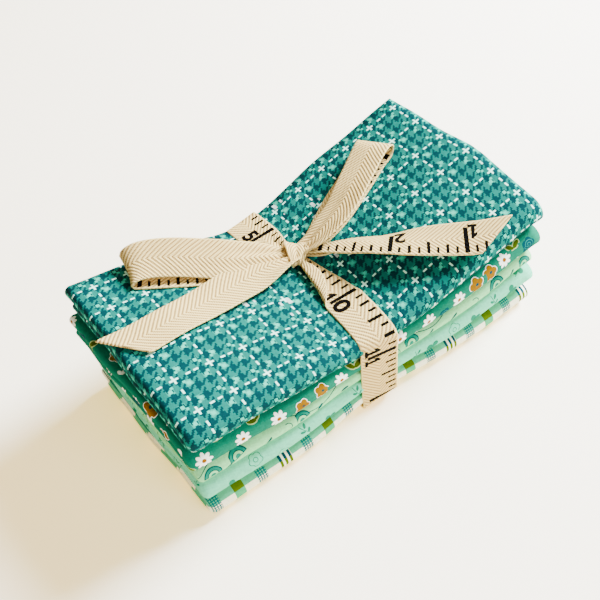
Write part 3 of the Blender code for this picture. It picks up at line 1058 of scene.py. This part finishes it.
def curveThrough(rows, step):
    # a smooth path through the rows, with a point about every step millimetres
    rows = np.array(rows, float)
    padded = np.vstack([2 * rows[0] - rows[1], rows, 2 * rows[-1] - rows[-2]])
    out = []
    for k in range(1, len(padded) - 2):
        p0, p1, p2, p3 = padded[k - 1 : k + 3]
        count = max(2, int(np.linalg.norm((p2 - p1)[:3]) / step))
        for i in range(count):
            t = i / count
            bend = 2 * p0 - 5 * p1 + 4 * p2 - p3
            twist = 3 * p1 - p0 - 3 * p2 + p3
            out.append(0.5 * (2 * p1 + (p2 - p0) * t + bend * t * t + twist * t**3))
    out.append(rows[-1])
    return np.array(out)


def surfaceTree(obj):
    graph = bpy.context.evaluated_depsgraph_get()
    done = obj.evaluated_get(graph).to_mesh()
    corners = [v.co.copy() for v in done.vertices]
    return BVHTree.FromPolygons(corners, [tuple(p.vertices) for p in done.polygons])


topTree = surfaceTree(bpy.data.objects["cloth_check_folds"])


def topUnder(x, y):
    # the top cloth's height at a place, in the bundle's millimetres, or None beside the cloth
    start = Vector(toRow([[x, y, 200.0]])[0])
    hit = topTree.ray_cast(start, Vector((0, 0, -1)))[0]
    return None if hit is None else hit.z / mm


def clothTop(x, y):
    # the same at the nearest place that is well on the cloth
    left, right = cloths["cloth_check"]["ends"]
    return topUnder(min(max(x, left + 2), right - 2), min(max(y, -35.0), 36.0))


def twillRun(rows, tickSide, cut=0.0, raised=True, foldWay=0.0):
    # turns a table of rows into a grid of points, from the plain edge to the edge with the ticks
    path = curveThrough([tuple(row) + (-0.1,) * (8 - len(row)) for row in rows], tape["step"])
    centre = path[:, :3].copy()
    if raised:
        centre[:, 2] += [clothTop(x, y) + tape["clear"] + tape["thick"] / 2 for x, y in path[:, :2]]
    tangent = np.gradient(centre, axis=0)
    tangent /= np.linalg.norm(tangent, axis=1)[:, None]
    side = np.zeros_like(centre)
    last = np.array(tickSide, float)
    for k, t in enumerate(tangent):
        s = np.array((t[1], -t[0], 0.0))
        if np.linalg.norm(s) < 0.35:
            s = last.copy()
        s /= np.linalg.norm(s)
        if s @ last < 0:
            s = -s
        last = s
        side[k] = s
    for _ in range(4):
        side[1:-1] = (side[:-2] + side[1:-1] + side[2:]) / 3
    side -= (side * tangent).sum(1)[:, None] * tangent
    side /= np.linalg.norm(side, axis=1)[:, None]
    normal = np.cross(side, tangent)
    turned = normal[0, 2] < 0
    if turned:
        normal = -normal
    count = tape["across"]
    grid = np.zeros((len(path), count + 1, 3))
    slides = np.zeros((len(path), count + 1))
    for k in range(len(path)):
        width, tiltA, tiltB, pleat, fold = path[k, 3:8]
        shares = np.linspace(0, 1, count + 1)
        mids = (shares[:-1] + shares[1:]) / 2
        folded = 1 - smooth((mids - fold) / 0.2 + 0.5)
        angles = np.radians(tiltA + (tiltB - tiltA) * mids + foldWay * folded)
        w = np.concatenate([[0], np.cumsum(np.cos(angles))]) * width / count
        n = np.concatenate([[0], np.cumsum(np.sin(angles))]) * width / count
        w -= (w.min() + w.max()) / 2
        n -= (n[0] + n[-1]) / 2
        n += pleat * np.sin(shares * math.pi * 5) * np.sin(math.pi * shares)
        slide = cut * (0.5 - shares) * smooth((k - len(path) + 14) / 13.0)
        slides[k] = slide
        grid[k] = centre[k] + side[k] * w[:, None] + normal[k] * n[:, None] + tangent[k] * slide[:, None]
    return grid, turned, slides


def liftClear(grid, clear):
    # keeps a run above the top cloth
    for _ in range(2):
        need = np.zeros(grid.shape[:2])
        for r in range(grid.shape[0]):
            for c in range(grid.shape[1]):
                low = topUnder(grid[r, c, 0], grid[r, c, 1])
                if low is not None:
                    need[r, c] = max(0.0, low + clear - grid[r, c, 2])
        if need.max() < 0.01:
            break
        soft = need.copy()
        for _ in range(6):
            wide = np.pad(soft, 1, mode="edge")
            sides = wide[:-2, 1:-1] + wide[2:, 1:-1] + wide[1:-1, :-2] + wide[1:-1, 2:]
            soft = (sides + 2 * wide[1:-1, 1:-1]) / 6
        grid[..., 2] += np.maximum(need, soft)
    return grid


def bandRows():
    # front strand, down the front, under, up the back and the back strand
    off = tape["clear"] + tape["thick"] / 2
    x = (bundle["tapeFrontX"] + bundle["tapeBackX"]) / 2
    fronts, backs = [], []
    for spec in cloths.values():
        at = (x - spec["ends"][0]) / (spec["ends"][1] - spec["ends"][0])
        fronts.append(spec["front"][0] + (spec["front"][1] - spec["front"][0]) * at + spec["pull"])
        backs.append(spec["back"][0] + (spec["back"][1] - spec["back"][0]) * at - 1.2)
    frontY, backY = min(fronts) - off - 0.3, max(backs) + off + 0.6
    low = float(lift(np.array(bundle["tapeFrontX"]))) - off
    flat = (tape["width"], 0.0, 0.0, 0.0)
    bend, topBend = tape["bend"], tape["topBend"]
    onCloth = lambda row: (row[0], row[1], clothTop(row[0], row[1]) + off + row[2]) + tuple(row[3:])
    rows = [onCloth(row) for row in tape["frontStrand"]]
    rows.append(onCloth((-2.1, -26.5, 0.0) + flat))
    top = clothTop(-2.9, -32.5) + off
    rows.append((-2.9, -32.5, top) + flat)
    for a in (35, 65, 88):
        a = math.radians(a)
        y, z = frontY + topBend * (1 - math.sin(a)), top - topBend * (1 - math.cos(a))
        rows.append((-3.2 - 0.4 * a, y, z) + flat)
    for share in (0.75, 0.5, 0.25):
        rows.append((-3.9, frontY, low + bend + (top - topBend - low - bend) * share) + flat)
    for a in (5, 45, 80):
        a = math.radians(a)
        rows.append((-3.8, frontY + bend * (1 - math.cos(a)), low + bend * (1 - math.sin(a))) + flat)
    for share in (0.15, 0.4, 0.65, 0.9):
        rows.append((-3.8 - 0.6 * share, frontY + (backY - frontY) * share, low) + flat)
    for a in (10, 45, 85):
        a = math.radians(a)
        rows.append((-4.5, backY - bend * (1 - math.sin(a)), low + bend * (1 - math.cos(a))) + flat)
    topBack = clothTop(-4.2, backY - 4) + off
    for share in (0.3, 0.6, 0.9):
        rows.append((-4.4, backY, low + bend + (topBack - 1.6 - low - bend) * share) + flat)
    rows.append((-4.2, backY - 0.6, topBack - 0.5) + flat)
    rows.append((-4.0, backY - 2.4, topBack) + flat)
    return rows + [onCloth(row) for row in reversed(tape["backStrand"])]


runs = {}
runs["band"] = twillRun(bandRows(), (1, 0, 0), raised=False, foldWay=tape["foldWay"]["frontStrand"])
cuts = {"leftLoop": 0.0, "rightLoop": 0.0, "leftTail": tape["leftCut"], "rightTail": tape["rightCut"]}
for name, cut in cuts.items():
    grid, turned, slides = twillRun(tape[name], (0, -1, 0), cut, foldWay=tape["foldWay"].get(name, 0.0))
    runs[name] = (liftClear(grid, tape["clear"] + tape["thick"] / 2), turned, slides)
runs["wrap"] = twillRun(tape["wrap"], (-1, 0.6, 0))


def runLength(grid):
    middle = grid[:, grid.shape[1] // 2]
    return np.concatenate([[0], np.cumsum(np.linalg.norm(np.diff(middle, axis=0), axis=1))])


# the ruler's reading where a run starts, and where on the band the photo shows 10, 11 and 5
numbering = {
    "rightTail": 0.59,
    "leftLoop": 7.4,
    "rightLoop": 3.62,
    "leftTail": 0.0,
    "wrap": 0.3,
    "tenY": -16.0,
    "elevenZ": 30.5,
    "fiveY": 26.6,
}


def inchesAlong(name, grid, along):
    # the ruler's reading at each row of a run
    if name == "rightTail":
        return numbering[name] + (along[-1] - along) / inch
    if name != "band":
        return numbering[name] + along / inch
    middle = grid[:, grid.shape[1] // 2]
    front = len(middle) // 2
    buried = 3 * (middle[:, 2] < 30)
    ten = int(np.argmin((np.abs(middle[:, 1] - numbering["tenY"]) + buried)[:front]))
    eleven = ten + int(np.argmin(np.abs(middle[ten:front, 2] - numbering["elevenZ"])))
    five = front + int(np.argmin((np.abs(middle[:, 1] - numbering["fiveY"]) + buried)[front:]))
    start, end = 10 - (along[ten] - along[0]) / inch, 17 + (along[-1] - along[five]) / inch
    keys = ((along[0], start), (along[ten], 10), (along[eleven], 11), (along[five], 17), (along[-1], end))
    return np.interp(along, [k[0] for k in keys], [k[1] for k in keys])


bm = bmesh.new()
bm.loops.layers.uv.new("print")
runInches = {}
tapeLength = 0.0
for name, (grid, turned, slides) in runs.items():
    along = runLength(grid)
    tapeLength += along[-1]
    u = inchesAlong(name, grid, along)
    runInches[name] = u
    acrossTape = np.linspace(1, 0, grid.shape[1]) * tape["width"]
    sliding = -slides if name == "rightTail" else slides
    uv = np.stack(np.broadcast_arrays(u[:, None] * inch + sliding, acrossTape[None, :]), -1) * mm
    faces = addGrid(bm, toRow(grid), uv)
    if turned:
        bmesh.ops.reverse_faces(bm, faces=faces)
    for face in faces:
        face.material_index = 1 if name in tape["printedUp"] else 0
tapePiece = meshPiece("tape_twill", bm)
tapeMesh = tapePiece.data
tapeMesh.shade_smooth()
skin = tapePiece.modifiers.new("tape", "SOLIDIFY")
skin.thickness = tape["thick"] * mm
skin.offset = 0
skin.material_offset = 1
for finish in (tapeFinish("tape plain side", False), tapeFinish("tape printed side", True)):
    tapeMesh.materials.append(finish)
tapeMesh.materials.append(tapeMesh.materials[0])
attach(tapePiece, "root")
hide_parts("tape")
tapeFlat = (tape["width"] * mm, round(tapeLength * mm, 3))
print("tape tied, %.0f mm of it" % tapeLength)

# printed numbers, cut from text and laid on the runs; each is a run, its reading and the digits
numbers = {
    "height": 6.0,
    "fromEdge": 9.6,
    "fromMark": 0.9,
    "proud": 0.07,
    "cut": 0.7,
    "places": (
        ("rightTail", 1, "1"),
        ("rightTail", 2, "2"),
        ("band", 10, "10"),
        ("band", 11, "11"),
        ("band", 13, "1"),
        ("band", 14, "2"),
        ("band", 15, "3"),
        ("band", 16, "4"),
        ("band", 17, "5"),
        ("leftLoop", 8, "8"),
        ("leftLoop", 11, "11"),
        ("rightLoop", 4, "4"),
        ("rightLoop", 7, "7"),
    ),
}
# the outline of the figure 1, with its foot and its flag
figureOne = (
    ((-1.5, -0.5), (1.5, -0.5), (1.5, -0.32), (0.62, -0.32), (0.62, 0.5), (0.1, 0.5))
    + ((-1.4, 0.28), (-1.4, 0.06), (-0.58, 0.16), (-0.58, -0.32), (-1.5, -0.32))
)


def digitMesh(text):
    # one digit as a flat mesh, ready to lie on the twill
    if text == "1":
        bm = bmesh.new()
        bm.faces.new([bm.verts.new((x, y * numbers["height"], 0)) for x, y in figureOne])
        made = bpy.data.meshes.new("digit")
        bm.to_mesh(made)
        bm.free()
        return made
    curve = bpy.data.curves.new("digit", "FONT")
    curve.body = text
    curve.size = numbers["height"] / 0.72
    curve.offset = 0.3
    curve.align_x = "CENTER"
    curve.align_y = "CENTER"
    holder = bpy.data.objects.new("digit", curve)
    bpy.context.scene.collection.objects.link(holder)
    bpy.context.view_layer.update()
    graph = bpy.context.evaluated_depsgraph_get()
    made = bpy.data.meshes.new_from_object(holder.evaluated_get(graph))
    bpy.data.objects.remove(holder)
    bpy.data.curves.remove(curve)
    return made


def onRun(name, reading, fromTicks, proud):
    # the point of a run at a reading and a distance from its tick edge
    grid, turned, slides = runs[name]
    u = runInches[name]
    order = np.argsort(u)
    column = (1 - fromTicks / tape["width"]) * (grid.shape[1] - 1)
    row = float(np.interp(reading, u[order], order))
    for _ in range(4):
        last = len(slides) - 1
        slide = slides[min(round(row), last), min(max(round(column), 0), grid.shape[1] - 1)] / inch
        row = float(np.interp(reading + (slide if name == "rightTail" else -slide), u[order], order))
    r, c = min(int(row), grid.shape[0] - 2), min(max(int(column), 0), grid.shape[1] - 2)
    fr, fc = row - r, column - c
    near, far = (grid[k, c] * (1 - fc) + grid[k, c + 1] * fc for k in (r, r + 1))
    point = near * (1 - fr) + far * fr
    ways = np.cross(grid[r, c + 1] - grid[r, c], grid[r + 1, c] - grid[r, c])
    ways = ways / np.linalg.norm(ways) * (-1 if turned else 1)
    if name not in ("band", "rightTail"):
        ways = -ways
    return point + ways * (tape["thick"] / 2 + proud)


inkBm = bmesh.new()
for name, reading, text in numbers["places"]:
    for place, digit in enumerate(text):
        made = digitMesh(digit)
        digitBm = bmesh.new()
        digitBm.from_mesh(made)
        bpy.data.meshes.remove(made)
        low, high = min(v.co.x for v in digitBm.verts), max(v.co.x for v in digitBm.verts)
        for step in np.arange(math.floor(low), high, numbers["cut"]):
            geom = digitBm.verts[:] + digitBm.edges[:] + digitBm.faces[:]
            bmesh.ops.bisect_plane(digitBm, geom=geom, plane_co=(step, 0, 0), plane_no=(1, 0, 0))
        shift = -(numbers["fromMark"] + high) if place == 0 else numbers["fromMark"] - low
        for v in digitBm.verts:
            along = reading + (v.co.x + shift) / inch
            v.co = Vector(toRow([onRun(name, along, numbers["fromEdge"] - v.co.y, numbers["proud"])])[0])
        holder = bpy.data.meshes.new("digit")
        digitBm.to_mesh(holder)
        digitBm.free()
        inkBm.from_mesh(holder)
        bpy.data.meshes.remove(holder)
inkPiece = meshPiece("tape_numbers", inkBm)
inkPiece.data.materials.append(inkFinish())
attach(inkPiece, "root")
print("numbers printed")


# camera at the photo's angle; the focal length is in the photo's own pixels
view = {
    "place": (-104.2, -148.2, 236.4),
    "azimuth": -33.14,
    "elevation": 49.66,
    "roll": -7.73,
    "focal": 760.0,
    "photoWidth": 600,
    "sensor": 36.0,
}
camera = bpy.data.objects.new("camera", bpy.data.cameras.new("camera"))
bpy.context.scene.collection.objects.link(camera)
az, el, roll = (math.radians(view[k]) for k in ("azimuth", "elevation", "roll"))
ahead = Vector((-math.sin(az) * math.cos(el), math.cos(az) * math.cos(el), -math.sin(el)))
level = ahead.cross(Vector((0, 0, 1))).normalized()
above = level.cross(ahead)
rightward = level * math.cos(roll) + above * math.sin(roll)
upward = above * math.cos(roll) - level * math.sin(roll)
camera.matrix_world = Matrix((rightward, upward, -ahead)).transposed().to_4x4()
camera.matrix_world.translation = Vector(toRow([view["place"]])[0])
camera.data.sensor_width = view["sensor"]
camera.data.lens = view["focal"] / view["photoWidth"] * view["sensor"]
camera.data.clip_start = 0.01
camera.data.clip_end = 20.0
bpy.context.scene.camera = camera

# warm air, two cool lamps and a floor of pale paper that glows warm in its shade
studio = {
    "air": (1.0, 0.87, 0.66, 1),
    "airStrength": 0.56,
    "lamps": {"window": ((0.88, -0.06, 0.7), 0.46, 92.0), "reflector": ((0.1, -0.85, 0.45), 0.6, 8.0)},
    "lampColour": (0.9, 0.96, 1.0),
    "aim": (0, 0, 0.02),
    "paper": (0.93, 0.92, 0.9, 1),
    "paperRoughness": 0.9,
    "glow": (1.0, 0.63, 0.08, 1),
    "glowStrength": 1.5,
    "floorHalf": 3.0,
}
bm = bmesh.new()
bmesh.ops.create_grid(bm, x_segments=1, y_segments=1, size=studio["floorHalf"])
floor = meshPiece("floor", bm)

world = bpy.data.worlds.new("studio")
world.use_nodes = True
world.node_tree.nodes["Background"].inputs[0].default_value = studio["air"]
world.node_tree.nodes["Background"].inputs[1].default_value = studio["airStrength"]
bpy.context.scene.world = world
for name, (place, width, power) in studio["lamps"].items():
    lamp = bpy.data.lights.new(name, "AREA")
    lamp.shape = "DISK"
    lamp.size = width
    lamp.energy = power
    lamp.color = studio["lampColour"]
    lampObj = bpy.data.objects.new(name, lamp)
    bpy.context.scene.collection.objects.link(lampObj)
    lampObj.location = place
    aim = Vector(studio["aim"]) - lampObj.location
    lampObj.rotation_euler = aim.to_track_quat("-Z", "Y").to_euler()

floorPaper = bpy.data.materials.new("floor paper")
floorPaper.use_nodes = True
shader = floorPaper.node_tree.nodes["Principled BSDF"]
shader.inputs["Base Color"].default_value = studio["paper"]
shader.inputs["Roughness"].default_value = studio["paperRoughness"]
shader.inputs["Emission Color"].default_value = studio["glow"]
shader.inputs["Emission Strength"].default_value = studio["glowStrength"]
floor.data.materials.append(floorPaper)
